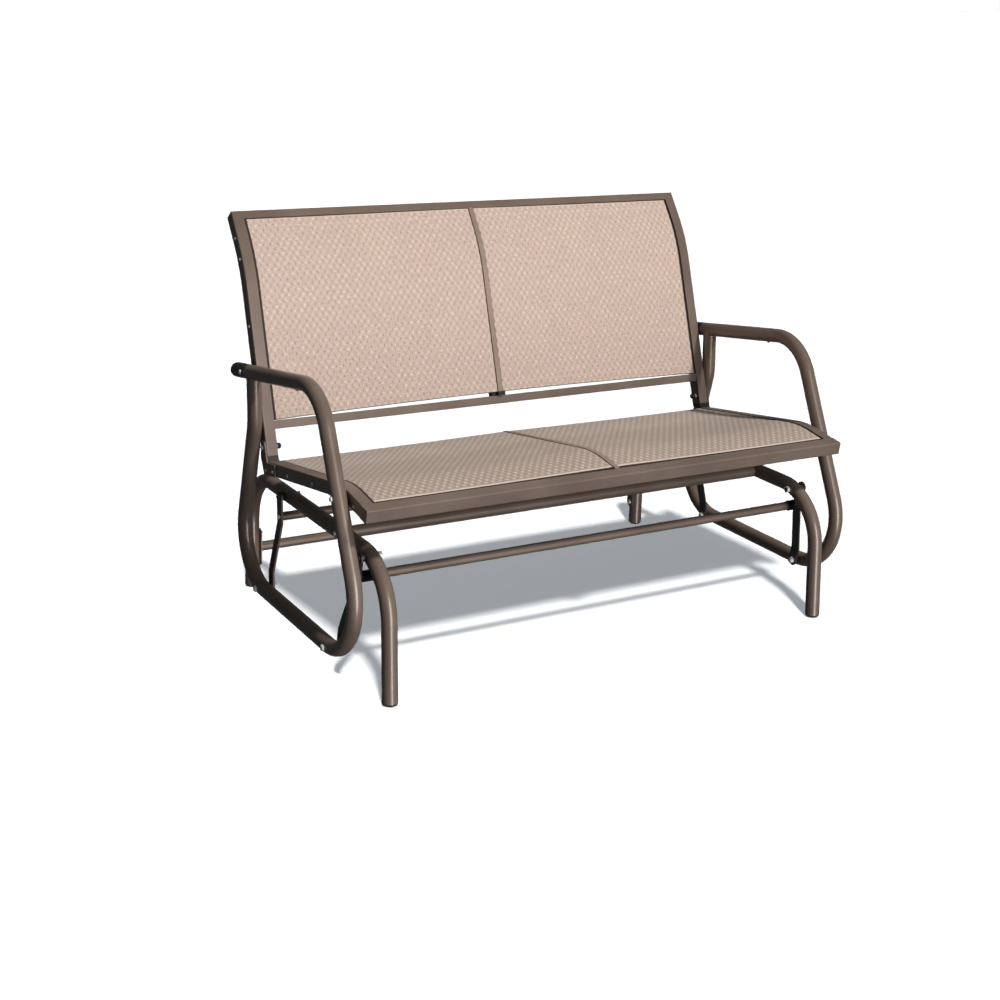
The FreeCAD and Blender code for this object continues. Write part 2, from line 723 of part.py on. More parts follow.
barFoot = bottomRailRise + bottomRailHeight + seatGap
keep("seat_centre_bar", centreBar(seatRoute.trimmed(frontRailDepth + seatGap, rearRailDepth + seatGap)))
keep("back_centre_bar", centreBar(backRoute.trimmed(barFoot + barCapHeight, topRailHeight + seatGap)))
capRoute = Route([toward(backFoot, backBend, barFoot),
                  toward(backFoot, backBend, barFoot + barCapHeight - seatGap)])
capFace = barFace / 2 + barCapWall
capBody = barBody / 2 + barCapWall
barCap = band(capRoute, barRise + barCapWall, -barFaceDepth, -capFace, capFace)
barCap = barCap.fuse(band(capRoute, -barFaceDepth, -barFaceDepth - barBodyDepth - barCapWall,
                          -capBody, capBody))
keep("back_bar_end_cap", barCap)


# Slings: a stretched sheet with a bead along each side, held in the grooves
def sling(route, firstGap, lastGap):
    strip = route.trimmed(firstGap, lastGap)
    bead = beadSize / 2
    beadX = grooveX + (grooveSize - beadSize) / 2
    sheet = band(strip, -slingDrop, -slingDrop - slingThick, hemX, beadX + bead)
    railBead = band(strip, slingMiddle + bead, slingMiddle - bead, beadX, beadX + beadSize)
    web = band(strip, -slingDrop, barBeadMiddle, hemX, hemX + slingThick)
    barBead = band(strip, barBeadMiddle + bead, barBeadMiddle - bead, hemMiddle - bead, hemMiddle + bead)
    return sheet.fuse([railBead, web, barBead])


seatSling = sling(seatRoute, frontRailDepth + seatSlingFrontGap, rearRailDepth + seatSlingRearGap)
backSling = sling(backRoute, barFoot + backSlingBottomGap, topRailHeight + backSlingTopGap)
for side, way in sides.items():
    keep("seat_sling_" + side, seatSling if way > 0 else mirrored(seatSling))
    keep("back_sling_" + side, backSling if way > 0 else mirrored(backSling))

# Plugs in the lower ends of the back rails stand on the seat rails
plugRoute = Route([toward(backFoot, backBend, -plugLength), backFoot])
plug = band(plugRoute, -seatGap, seatGap - backRailDepth, railInnerX + seatGap, railOuterX - seatGap)
seatSurface = Route([seatCrest, toward(seatRear, seatCrest, -backRailDepth)])
plug = plug.cut(band(seatSurface, seatGap, -seatRailHeight, railInnerX - 1, railOuterX + 1))
keep("back_rail_plugs", Part.makeCompound([plug, mirrored(plug)]))

# Rear brackets: plates on the rails' outer faces that tie back and seat together
tubeEdge = math.sqrt(tubeRadius ** 2 - (tubeRadius - bracketThick) ** 2) + seatGap
rearTube = Route([loopRear, kink]).shifted(tubeEdge)
seatUnder = seatRoute.shifted(-seatRailHeight)
seatUpper = seatRoute.shifted(-railRound)
elbow = backFoot[0] - bracketRound
outline = [(bracketFront, seatUnder.at(bracketFront, 0)), (bracketFront, seatUpper.at(bracketFront, 0)),
           (elbow, seatUpper.at(elbow, 0)), backFoot, (backRoute.at(bracketHead, 1), bracketHead),
           (rearTube.at(bracketHead, 1), bracketHead), backRoute.shifted(-backRailDepth).legs[0][1],
           seatUnder.legs[-1][2]]
points = [Vector(railOuterX, y, z) for y, z in outline]
bracket = Part.Face(Part.makePolygon(points + points[:1])).extrude(Vector(bracketThick, 0, 0))
bracket = bracket.makeFillet(bracketRound, [edge for edge in bracket.Edges if edge.BoundBox.XLength > 1])
bracket = railHoles(railHoles(bracket, [bracketBolt], frameBolt), bracketScrews, railScrew)
keep("rear_bracket_left", mirrored(bracket))
keep("rear_bracket_right", bracket)

# Fasteners of the seat and back frames
knobs = []
backNuts = []
bracketBolts = []
armBolts = []
seatBolts = []
screws = []
knobBore = frameBolt / 2 + runningGap
for way in (-1, 1):
    inside = way * railInnerX
    nutEnd = inside - way * nutThick
    tip = nutEnd - way * knobHeight * knobReach
    bracketBolts.append(bolt(frameBolt, way * (railOuterX + bracketThick), tip, *bracketBolt))
    backNuts.append(hexNut(frameBolt, *sorted((inside, nutEnd)), *bracketBolt))
    bulge = (knobRadius * knobBulge[0], knobRim + (knobHeight - knobRim) * knobBulge[1])
    knobs.append(turned([(knobBore, 0), (knobRadius, 0), (knobRadius, knobRim), (knobBore, knobHeight)],
                        (nutEnd, *bracketBolt), (-way, 0, 0), {2: bulge}))
    armBolts.append(bolt(frameBolt, way * (loopX + tubeRadius), inside - way, *armBolt))
    seatBolts.append(bolt(frameBolt, way * (loopX + tubeRadius), inside - way, *seatBolt))
    for places, face in ((seatScrews + backScrews, railOuterX), (bracketScrews, railOuterX + bracketThick)):
        for y, z in places:
            screws.append(screw(railScrew, way * face, way * (railOuterX - railWall * 3), y, z))
keep("back_bolts", Part.makeCompound(bracketBolts))
keep("back_knobs", Part.makeCompound(knobs))
keep("back_nuts", Part.makeCompound(backNuts))
keep("arm_bolts", Part.makeCompound(armBolts))
keep("seat_bolts", Part.makeCompound(seatBolts))
keep("rail_screws", Part.makeCompound(screws))

for name, shape in nodes.items():
    shape.exportStep("parts/" + name + ".step")
    if not shape.isValid():
        print("not valid:", name)
total = Part.makeCompound(list(nodes.values()))
print(len(nodes), "nodes,", len(total.Solids), "solids")
print("link pivots", pivots)
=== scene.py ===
import json
import math

import bpy
from mathutils import Matrix, Vector

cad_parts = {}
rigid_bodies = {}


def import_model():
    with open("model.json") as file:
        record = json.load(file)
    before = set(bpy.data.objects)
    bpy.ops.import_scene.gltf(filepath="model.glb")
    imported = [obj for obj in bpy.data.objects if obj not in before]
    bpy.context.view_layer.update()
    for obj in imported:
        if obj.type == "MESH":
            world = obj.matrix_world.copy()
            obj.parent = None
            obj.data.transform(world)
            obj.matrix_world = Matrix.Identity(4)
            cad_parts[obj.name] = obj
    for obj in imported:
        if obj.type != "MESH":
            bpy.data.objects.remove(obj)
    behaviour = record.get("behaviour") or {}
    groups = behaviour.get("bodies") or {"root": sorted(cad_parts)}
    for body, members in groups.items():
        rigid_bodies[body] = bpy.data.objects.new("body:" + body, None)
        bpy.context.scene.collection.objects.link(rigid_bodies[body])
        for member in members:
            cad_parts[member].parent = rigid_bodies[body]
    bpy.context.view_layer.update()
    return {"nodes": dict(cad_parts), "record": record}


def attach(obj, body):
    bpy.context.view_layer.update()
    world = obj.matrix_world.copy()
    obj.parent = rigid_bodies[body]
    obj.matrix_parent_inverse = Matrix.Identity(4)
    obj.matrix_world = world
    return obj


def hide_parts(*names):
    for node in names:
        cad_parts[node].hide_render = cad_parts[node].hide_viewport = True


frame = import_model()
nodes = frame["nodes"]
slots = {row["node"]: row["material_slot"] for row in frame["record"]["subparts"]}
sides = {"Left": -1, "Right": 1}

# Camera: where the photographer stood
camera = {"place": (-1.8661, -3.1350, 1.4075), "heading": 32.328, "downward": 13.301, "roll": 2.284,
          "lens": 61.39, "sensor": 36, "shiftX": -0.0835, "shiftY": -0.131}


def makeCamera():
    bpy.ops.object.camera_add(location=camera["place"])
    made = bpy.context.object
    made.name = "photoCamera"
    turn = Matrix.Rotation(-math.radians(camera["heading"]), 4, "Z")
    turn = turn @ Matrix.Rotation(math.radians(90 - camera["downward"]), 4, "X")
    turn = turn @ Matrix.Rotation(math.radians(camera["roll"]), 4, "Z")
    made.matrix_world = Matrix.Translation(camera["place"]) @ turn
    made.data.lens = camera["lens"]
    made.data.sensor_width = camera["sensor"]
    made.data.shift_x = camera["shiftX"]
    made.data.shift_y = camera["shiftY"]
    bpy.context.scene.camera = made


makeCamera()
print("camera set")


# Shader maths: a node's output that can be used in sums
class Wire:
    def __init__(self, tree, socket=None):
        self.tree = tree
        self.socket = socket

    # Any node: its settings come first, then the values or links of its sockets
    def node(self, kind, settings=None, values=None, output=0):
        made = self.tree.nodes.new(kind)
        for name, setting in (settings or {}).items():
            setattr(made, name, setting)
        for name, value in (values or {}).items():
            if isinstance(value, Wire):
                self.tree.links.new(value.socket, made.inputs[name])
            else:
                made.inputs[name].default_value = value
        return Wire(self.tree, made.outputs[output] if made.outputs else None)

    def maths(self, operation, *others):
        return self.node("ShaderNodeMath", {"operation": operation}, dict(enumerate((self,) + others)))

    def __add__(self, other):
        return self.maths("ADD", other)

    def __sub__(self, other):
        return self.maths("SUBTRACT", other)

    def __rsub__(self, other):
        return self.node("ShaderNodeMath", {"operation": "SUBTRACT"}, {0: other, 1: self})

    def __mul__(self, other):
        return self.maths("MULTIPLY", other)

    def __truediv__(self, other):
        return self.maths("DIVIDE", other)

    __radd__ = __add__
    __rmul__ = __mul__

    def floor(self):
        return self.maths("FLOOR")

    def fraction(self):
        return self.maths("FRACT")

    # One part of a vector: 0, 1 or 2 along x, y or z
    def part(self, axis):
        return self.node("ShaderNodeSeparateXYZ", {}, {"Vector": self}, axis)

    # Rises smoothly from 0 at low to 1 at high
    def ramp(self, low, high):
        return self.node("ShaderNodeMapRange", {"interpolation_type": "SMOOTHSTEP"},
                         {"Value": self, "From Min": low, "From Max": high})

    def noise(self, place, scale, detail=2.0, roughness=0.5):
        return self.node("ShaderNodeTexNoise", {}, {"Vector": place, "Scale": scale, "Detail": detail,
                                                    "Roughness": roughness})

    def mix(self, share, first, second):
        return self.node("ShaderNodeMix", {"data_type": "RGBA"}, {0: share, 6: first, 7: second}, 2)

    def bump(self, height, strength, distance):
        return self.node("ShaderNodeBump", {}, {"Height": height, "Strength": strength, "Distance": distance})


def newMaterial(name):
    material = bpy.data.materials.new(name)
    material.use_nodes = True
    material.node_tree.nodes.clear()
    return material, Wire(material.node_tree)


def finishMaterial(start, values):
    shader = start.node("ShaderNodeBsdfPrincipled", {}, values)
    start.node("ShaderNodeOutputMaterial", {}, {"Surface": shader})


# Satin powder coat on the steel: fine orange peel, a slow drift of tone, specks and dust on what faces up.
# The links get a copy of it a quarter as bright, the centre bars a copy 1.7 times as bright
paint = {"colour": (0.122, 0.087, 0.067), "drift": (0.148, 0.109, 0.085), "dust": (0.25, 0.21, 0.175),
         "linkShade": 0.25, "barShade": 1.7,
         "driftScale": 7.0, "driftDetail": 3.0, "driftRange": (0.35, 0.68),
         "peelScale": 620.0, "peelDetail": 2.0, "peelStrength": 0.25, "peelHeight": 0.00012,
         "speckScale": 1500.0, "speckDetail": 1.0, "speckRange": (0.66, 0.80), "speckShare": 0.30,
         "speckHeight": 0.4, "upwardRange": (0.55, 1.0), "dustShare": 0.35,
         "roughness": 0.33, "roughnessSpread": 0.10, "metal": 0.25, "coat": 0.35, "coatRoughness": 0.24}


def bronzePaint(name, shade):
    material, start = newMaterial(name)
    tones = {key: tuple(shade * part for part in paint[key]) + (1,) for key in ("colour", "drift", "dust")}
    place = start.node("ShaderNodeTexCoord", output="Object")
    drift = start.noise(place, paint["driftScale"], paint["driftDetail"])
    peel = start.noise(place, paint["peelScale"], paint["peelDetail"])
    speck = start.noise(place, paint["speckScale"], paint["speckDetail"]).ramp(*paint["speckRange"])
    upward = start.node("ShaderNodeNewGeometry", output="Normal").part(2).ramp(*paint["upwardRange"])
    colour = start.mix(drift.ramp(*paint["driftRange"]), tones["colour"], tones["drift"])
    colour = start.mix(upward * drift * paint["dustShare"], colour, tones["dust"])
    colour = start.mix(speck * paint["speckShare"], colour, tones["dust"])
    height = peel + speck * paint["speckHeight"]
    finishMaterial(start, {"Base Color": colour, "Metallic": paint["metal"],
                           "Roughness": paint["roughness"] + drift * paint["roughnessSpread"],
                           "Normal": start.bump(height, paint["peelStrength"], paint["peelHeight"]),
                           "Coat Weight": paint["coat"], "Coat Roughness": paint["coatRoughness"]})
    return material


# Black moulded plastic with a fine grain and faint scuffs. The bushes are duller
plastic = {"colour": (0.012, 0.012, 0.012, 1), "worn": (0.035, 0.034, 0.033, 1),
           "roughness": 0.32, "bushRoughness": 0.5,
           "grainScale": 900.0, "grainDetail": 3.0, "grainStrength": 0.3, "grainHeight": 0.00010,
           "grainSpread": 0.15, "scuffScale": 60.0, "scuffDetail": 6.0, "scuffRoughness": 0.7,
           "scuffRange": (0.55, 0.75), "scuffShare": 0.5, "scuffSpread": 0.1}


def blackPlastic(name, roughness):
    material, start = newMaterial(name)
    place = start.node("ShaderNodeTexCoord", output="Object")
    grain = start.noise(place, plastic["grainScale"], plastic["grainDetail"])
    scuffs = start.noise(place, plastic["scuffScale"], plastic["scuffDetail"], plastic["scuffRoughness"])
    scuffs = scuffs.ramp(*plastic["scuffRange"])
    rough = roughness + grain * plastic["grainSpread"] + scuffs * plastic["scuffSpread"]
    finishMaterial(start, {"Base Color": start.mix(scuffs * plastic["scuffShare"], plastic["colour"],
                                                   plastic["worn"]),
                           "Roughness": rough,
                           "Normal": start.bump(grain, plastic["grainStrength"], plastic["grainHeight"])})
    return material


# Bright zinc plate, blotched and finely scratched
zinc = {"colour": (0.86, 0.86, 0.85, 1), "dull": (0.62, 0.61, 0.60, 1), "metal": 0.35, "roughness": 0.30,
        "blotchScale": 240.0, "blotchDetail": 4.0, "blotchRange": (0.4, 0.7), "blotchSpread": 0.18,
        "scratchStretch": (0.3, 1.0, 1.6), "scratchScale": 700.0, "scratchDetail": 5.0,
        "scratchRoughness": 0.7, "scratchStrength": 0.15, "scratchDepth": 0.00008}


def zincPlate():
    material, start = newMaterial("zincPlate")
    place = start.node("ShaderNodeTexCoord", output="Object")
    blotch = start.noise(place, zinc["blotchScale"], zinc["blotchDetail"]).ramp(*zinc["blotchRange"])
    squeezed = start.node("ShaderNodeMapping", {}, {"Vector": place, "Scale": zinc["scratchStretch"]})
    scratch = start.noise(squeezed, zinc["scratchScale"], zinc["scratchDetail"], zinc["scratchRoughness"])
    finishMaterial(start, {"Base Color": start.mix(blotch, zinc["colour"], zinc["dull"]),
                           "Metallic": zinc["metal"],
                           "Roughness": zinc["roughness"] + blotch * zinc["blotchSpread"],
                           "Normal": start.bump(scratch, zinc["scratchStrength"], zinc["scratchDepth"])})
    return material


# Woven vinyl mesh: rows of pale floats, each row half a step along from the last, with short dark dashes
# between them on a plain weave. A dark band of painted shade lies along the rails, where the cloth runs into
# their grooves. Lengths are in metres on the cloth
weave = {"dotPitch": 0.0160, "rowPitch": 0.0115, "dot": (0.0027, 0.0034), "dash": (0.0013, 0.0038),
         "spotFade": (0.45, 1.3), "dashShare": 0.95, "dashSpread": 0.45, "dashDepth": 0.6,
         "yarn": 0.0052, "yarnLight": 0.22, "yarnDark": 0.25, "yarnHeight": 0.35,
         "tintScale": 9.0, "tintDetail": 3.0, "tintShare": 0.4, "pinkRange": (0.52, 0.72),
         "strawRange": (0.30, 0.46), "wornScale": 230.0, "wornDetail": 2.0,
         "wornLight": (0.52, 0.72), "wornDark": (0.28, 0.48),
         # Painted shade: a dark band on the cloth beside each rail, standing in for the shade in the rail's
         # groove
         "railGrooveShadeBand": (0.0078, 0.0088), "railGrooveShadeColour": (0.035, 0.022, 0.016, 1),
         # Painted highlight along each hem's edge, and painted shade under each hem's fold
         "hemHighlightBand": (0.0028, 0.0046), "foldShadeBand": (-0.0014, -0.0002)}
stitching = {"row": 0.018, "width": 0.0011, "softness": 0.6, "pitch": 0.0045, "gap": (0.32, 0.42),
             "seamShare": 0.2, "seamDepth": 0.4, "threadShare": 0.5, "threadHeight": 0.8}
clothSurface = {"roughness": 0.60, "dotSmoothing": 0.12, "strength": 0.5, "height": 0.0006,
                "sheen": 0.1, "sheenRoughness": 0.5}
# rim is the strength of the painted highlight along the hems' edges
seatCloth = {"light": (0.49, 0.41, 0.345, 1), "middle": (0.280, 0.217, 0.175, 1),
             "dark": (0.14, 0.100, 0.078, 1), "pink": (0.335, 0.222, 0.184, 1),
             "straw": (0.31, 0.26, 0.19, 1), "rim": 0.9, "dots": 1.0, "steady": 0.45, "worn": 0.2}
backCloth = {"light": (0.51, 0.410, 0.343, 1), "middle": (0.338, 0.256, 0.212, 1),
             "dark": (0.19, 0.132, 0.106, 1), "pink": (0.375, 0.262, 0.220, 1),
             "straw": (0.355, 0.293, 0.223, 1), "rim": 0.15, "dots": 0.62, "steady": 0.0, "worn": 0.5}


# A soft oval, 1 in the middle and 0 outside
def oval(x, y, size):
    return 1 - ((x / size[0]) * (x / size[0]) + (y / size[1]) * (y / size[1])).ramp(*weave["spotFade"])


def wovenMesh(name, cloth):
    material, start = newMaterial(name)
    light, dark = cloth["light"], cloth["dark"]

    # The lattice of floats and dashes
    flow = start.node("ShaderNodeUVMap", {"uv_map": "cloth"})
    across = flow.part(0)
    along = flow.part(1)
    rows = along / weave["rowPitch"]
    row = rows.floor()
    columns = across / weave["dotPitch"] + row * 0.5
    upDown = (rows.fraction() - 0.5) * weave["rowPitch"]
    sideways = (columns.fraction() - 0.5) * weave["dotPitch"]
    between = ((columns + 0.5).fraction() - 0.5) * weave["dotPitch"]
    cell = start.node("ShaderNodeCombineXYZ", {}, {"X": columns.floor(), "Y": row})
    chance = start.node("ShaderNodeTexWhiteNoise", {"noise_dimensions": "2D"}, {"Vector": cell})
    dot = oval(sideways, upDown, weave["dot"]) * (cloth["steady"] + (1 - cloth["steady"]) * chance)
    dot = dot * cloth["dots"]
    dash = oval(between, upDown, weave["dash"]) * (weave["dashShare"] - weave["dashSpread"] * chance)

    # The ground: plain weave, tints and wear
    turns = 2 * math.pi / weave["yarn"]
    fine = (across * turns).maths("SINE") * (along * turns).maths("SINE")
    tint = start.noise(flow, weave["tintScale"], weave["tintDetail"])
    worn = start.noise(flow, weave["wornScale"], weave["wornDetail"])
    pink = tint.ramp(*weave["pinkRange"]) * weave["tintShare"]
    straw = (1 - tint.ramp(*weave["strawRange"])) * weave["tintShare"]
    raised = fine.maths("MAXIMUM", 0.0) * weave["yarnLight"]
    raised = raised + worn.ramp(*weave["wornLight"]) * cloth["worn"]
    sunken = (0 - fine).maths("MAXIMUM", 0.0) * weave["yarnDark"]
    sunken = sunken + (1 - worn.ramp(*weave["wornDark"])) * cloth["worn"]
    colour = start.mix(pink, cloth["middle"], cloth["pink"])
    colour = start.mix(straw, colour, cloth["straw"])
    colour = start.mix(raised, colour, light)
    colour = start.mix(sunken, colour, dark)
    colour = start.mix(dash, colour, dark)
    colour = start.mix(dot, colour, light)

    # The edges: stitched hems, a painted highlight along each hem's edge, painted shade under each hem's fold
    # and a band of painted shade beside the rail
    edge = start.node("ShaderNodeUVMap", {"uv_map": "hem"})
    inward = edge.part(0)
    outer = edge.part(1)
    width = stitching["width"]
    seam = 1 - (inward - stitching["row"]).maths("ABSOLUTE").ramp(width * stitching["softness"], width)
    stitch = ((across / stitching["pitch"]).fraction() - 0.5).maths("ABSOLUTE")
    thread = seam * (1 - stitch.ramp(*stitching["gap"]))
    colour = start.mix(seam * stitching["seamShare"], colour, dark)
    colour = start.mix(thread * stitching["threadShare"], colour, light)
    # Painted highlight: a pale line along each hem's edge, where the fold catches the light
    colour = start.mix((1 - inward.ramp(*weave["hemHighlightBand"])) * cloth["rim"], colour, light)
    # Painted shade: the band beside each rail and the underside of each hem's fold are darkened to one shade
    # colour
    shaded = (1 - outer.ramp(*weave["railGrooveShadeBand"])).maths("MAXIMUM", 1 - inward.ramp(*weave["foldShadeBand"]))
    colour = start.mix(shaded, colour, weave["railGrooveShadeColour"])

    height = dot + fine * weave["yarnHeight"] - dash * weave["dashDepth"]
    height = height + thread * stitching["threadHeight"] - seam * stitching["seamDepth"]
    finishMaterial(start, {"Base Color": colour,
                           "Roughness": clothSurface["roughness"] - dot * clothSurface["dotSmoothing"],
                           "Normal": start.bump(height, clothSurface["strength"], clothSurface["height"]),
                           "Sheen Weight": clothSurface["sheen"],
                           "Sheen Roughness": clothSurface["sheenRoughness"]})
    return material


finishes = {"bronze_frame": bronzePaint("bronzePaint", 1.0),
            "link_paint": bronzePaint("linkPaint", paint["linkShade"]),
            "bar_paint": bronzePaint("barPaint", paint["barShade"]),
            "black_plastic": blackPlastic("blackPlastic", plastic["roughness"]),
            "bush_plastic": blackPlastic("bushPlastic", plastic["bushRoughness"]),
            "zinc_steel": zincPlate(),
            "sling_fabric": wovenMesh("seatMesh", seatCloth),
            "back_fabric": wovenMesh("backMesh", backCloth)}
ownFinish = {"front_link_left": "link_paint", "front_link_right": "link_paint",
             "rear_link_left": "link_paint", "rear_link_right": "link_paint",
             "link_top_bolts": "link_paint", "seat_centre_bar": "bar_paint", "back_centre_bar": "bar_paint"}
for node, slot in slots.items():
    for socket in nodes[node].material_slots:
        socket.material = finishes[ownFinish.get(node, slot)]
print("materials on the CAD nodes")

# How turned parts are joined up, picked by their rings and smoothed
hardware = {"weld": 1e-6, "ringMargin": 1e-5, "smoothAngle": 35}


def freshObject(name):
    bpy.ops.object.select_all(action="DESELECT")
    made = bpy.context.object
    made.select_set(True)
    made.name = name
    made.data.name = name
    return made


def dress(piece, slot, body, *replaced, finish=None):
    piece.data.materials.clear()
    piece.data.materials.append(finishes[finish or slot])
    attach(piece, body)
    if replaced:
        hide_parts(*replaced)


# A round part built up along Z: each step gives a height and a radius, extruded from the ring before
def turned(name, corners, steps, hollow=False):
    bpy.ops.mesh.primitive_circle_add(vertices=corners, radius=steps[0][1],
                                      fill_type="NOTHING" if hollow else "NGON")
    piece = freshObject(name)
    bpy.ops.object.mode_set(mode="EDIT")
    bpy.ops.mesh.select_all(action="SELECT")
    bpy.ops.transform.translate(value=(0, 0, steps[0][0]))
    for (below, last), (height, radius) in zip(steps, steps[1:]):
        bpy.ops.mesh.extrude_region_move(TRANSFORM_OT_translate={"value": (0, 0, height - below)})
        bpy.ops.transform.resize(value=(radius / last, radius / last, 1), center_override=(0, 0, height))
    bpy.ops.mesh.select_all(action="SELECT")
    bpy.ops.mesh.remove_doubles(threshold=hardware["weld"])
    bpy.ops.mesh.normals_make_consistent(inside=False)
    bpy.ops.object.mode_set(mode="OBJECT")
    return piece


# Copies of a part, its foot at each place and its top along each way, joined as one piece
def repeated(first, places):
    bpy.ops.object.select_all(action="DESELECT")
    copies = []
    for place, way in places:
        copy = first.copy()
        copy.data = first.data.copy()
        bpy.context.scene.collection.objects.link(copy)
        turn = Vector(way).to_track_quat("Z", "Y").to_matrix().to_4x4()
        copy.data.transform(Matrix.Translation(place) @ turn)
        copy.select_set(True)
        copies.append(copy)
    name = first.name
    bpy.data.objects.remove(first, do_unlink=True)
    bpy.context.view_layer.objects.active = copies[0]
    if len(copies) > 1:
        bpy.ops.object.join()
    piece = bpy.context.view_layer.objects.active
    piece.name = name
    piece.data.name = name
    bpy.ops.object.shade_smooth_by_angle(angle=math.radians(hardware["smoothAngle"]))
    return piece


# Places given for the right side, repeated on both, each with its top pointing out to its own side
def outwards(places):
    return [((way * x, y, z), (way, 0, 0)) for way in sides.values() for x, y, z in places]


# The vertices that stand at a radius
def ringAt(piece, radius):
    return [vertex for vertex in piece.data.vertices
            if abs(vertex.co.xy.length - radius) < hardware["ringMargin"]]


# The rings of a head, given as shares of its height and radius
def crown(tall, wide, shares):
    return tuple((tall * height, wide * radius) for height, radius in shares)


# Foot plugs: well rounded below, with a seam at the tube's end and a hollow spigot inside the leg
footPlug = {"steps": ((0.0, 0.0070), (0.0003, 0.0100), (0.0013, 0.0126), (0.0028, 0.0146),
                      (0.0044, 0.0156), (0.0055, 0.0158), (0.0058, 0.0154), (0.0060, 0.0142),
                      (0.0260, 0.0140), (0.0270, 0.0134), (0.0270, 0.0118), (0.0075, 0.0116),
                      (0.0070, 0.0060)),
            "corners": 48, "x": 0.524, "y": 0.363, "raise": 0.00035,
            "lean": {"Front": 0.05, "Rear": 0.0071}}


def makeFootPlugs():
    for end, forth in (("Front", -1), ("Rear", 1)):
        for side, way in sides.items():
            plug = turned("footPlug" + end + side, footPlug["corners"], footPlug["steps"])
            place = (way * footPlug["x"], forth * footPlug["y"], footPlug["raise"])
            plug = repeated(plug, [(place, (0, -forth * footPlug["lean"][end], 1))])
            dress(plug, "black_plastic", "base", "foot_cap_" + end.lower() + "_" + side.lower())


makeFootPlugs()
print("foot plugs made")

# Sleeves pushed over the ends of the front link tube, up against the links
sleeve = {"y": -0.2589, "z": 0.2318, "end": 0.5450, "length": 0.0290, "outer": 0.0116, "bore": 0.0096,
          "edge": 0.0008, "edgeCurve": 0.3, "corners": 40}


def makeSleeves():
    length, outer, bore, edge = sleeve["length"], sleeve["outer"], sleeve["bore"], sleeve["edge"]
    curve = edge * sleeve["edgeCurve"]
    rings = ((0, bore), (0, outer - edge), (curve, outer - curve), (edge, outer), (length - edge, outer),
             (length - curve, outer - curve), (length, outer - edge), (length, bore), (0, bore))
    places = [((way * sleeve["end"], sleeve["y"], sleeve["z"]), (-way, 0, 0)) for way in sides.values()]
    made = repeated(turned("frontLinkSleeves", sleeve["corners"], rings, hollow=True), places)
    dress(made, "black_plastic", "front_swing", "front_link_sleeves")


makeSleeves()
print("sleeves made")

# Button-headed bolts with a hexagon socket, whose heads stand on the metal. Sizes are shares of the bolt's
# diameter, the crown's of the head, and the last two of the socket
bolt = {"corners": 24, "headRadius": 0.925, "headHeight": 0.55, "shank": 0.49, "tip": 0.4, "tipLength": 0.1,
        "crown": ((0, 0.96), (0.12, 1.0), (0.42, 0.95), (0.72, 0.82), (0.92, 0.64), (1.0, 0.50)),
        "socket": 0.36, "socketDepth": 0.30, "coneDepth": 0.04, "coneRadius": 0.4, "hexagonReach": 1.12}


# Moves the round socket's corners on to a hexagon
def hexagonSocket(piece, radius):
    sector = math.radians(60)
    for vertex in ringAt(piece, radius):
        angle = math.atan2(vertex.co.y, vertex.co.x) % sector - sector / 2
        share = math.cos(sector / 2) / math.cos(angle) * bolt["hexagonReach"]
        vertex.co.x *= share
        vertex.co.y *= share


def boltPart(name, size, shank):
    wide, tall, socket = size * bolt["headRadius"], size * bolt["headHeight"], size * bolt["socket"]
    floor = tall - size * bolt["socketDepth"]
    cone = (floor - size * bolt["coneDepth"], socket * bolt["coneRadius"])
    below = ((-shank, size * bolt["tip"]), (size * bolt["tipLength"] - shank, size * bolt["shank"]),
             (0, size * bolt["shank"]))
    inside = ((tall, socket), (floor, socket), cone)
    piece = turned(name, bolt["corners"], below + crown(tall, wide, bolt["crown"]) + inside)
    hexagonSocket(piece, socket)
    return piece


# The bolts: diameter, length below the head, body, CAD node, and the places of the heads on the right side
bolts = {"armBolts": (0.006, 0.055, "glider", "arm_bolts", ((0.6065, 0.2108, 0.5434),)),
         "seatBolts": (0.006, 0.055, "glider", "seat_bolts", ((0.6065, -0.2653, 0.4003),)),
         "backBolts": (0.006, 0.038, "glider", "back_bolts", ((0.5775, 0.1619, 0.3869),)),
         "frontLinkScrews": (0.006, 0.018, "front_swing", "front_link_screws",
                             ((0.5490, -0.2589, 0.2318),)),
         "rearLinkScrews": (0.006, 0.018, "rear_swing", "rear_link_screws", ((0.5490, 0.1382, 0.2360),)),
         "crossbarBolts": (0.006, 0.040, "base", "crossbar_bolts",
                           ((0.5400, -0.1330, 0.2800), (0.5400, 0.3625, 0.0610),
                            (0.5400, 0.3621, 0.1230))),
         "linkTopBolts": (0.008, 0.048, "base", "link_top_bolts",
                          ((0.5493, -0.2680, 0.2749), (0.5493, 0.1405, 0.2800))),
         "linkBottomBolts": (0.008, 0.047, "glider", "link_bottom_bolts",
                             ((0.6065, -0.2277, 0.0841), (0.6065, 0.1303, 0.0853)))}
for name, (size, shank, body, node, places) in bolts.items():
    made = repeated(boltPart(name, size, shank), outwards(places))
    dress(made, slots[node], body, node, finish=ownFinish.get(node))
print("bolts made")

# Screws along the rails and on the brackets: pan heads with a cross socket, their places as y and z
screw = {"head": 0.0035, "tall": 0.0022, "socket": 0.0017, "depth": 0.0012, "floorShare": 0.55,
         "crossShare": 0.45, "armShare": 0.05, "shank": 0.0054, "half": 0.0019, "tipShare": 0.3,
         "tipStart": 0.8, "corners": 16,
         "crown": ((0, 0.98), (0.25, 1.0), (0.65, 0.90), (0.92, 0.70), (1.0, 0.52)),
         "railFace": 0.5745, "rails": ((-0.2980, 0.3910), (-0.0990, 0.3792), (0.0300, 0.3602),
                                       (0.3191, 0.8110), (0.2920, 0.7700), (0.2400, 0.6340)),
         "bracketFace": 0.5775, "brackets": ((0.1040, 0.3492), (0.1420, 0.3436))}


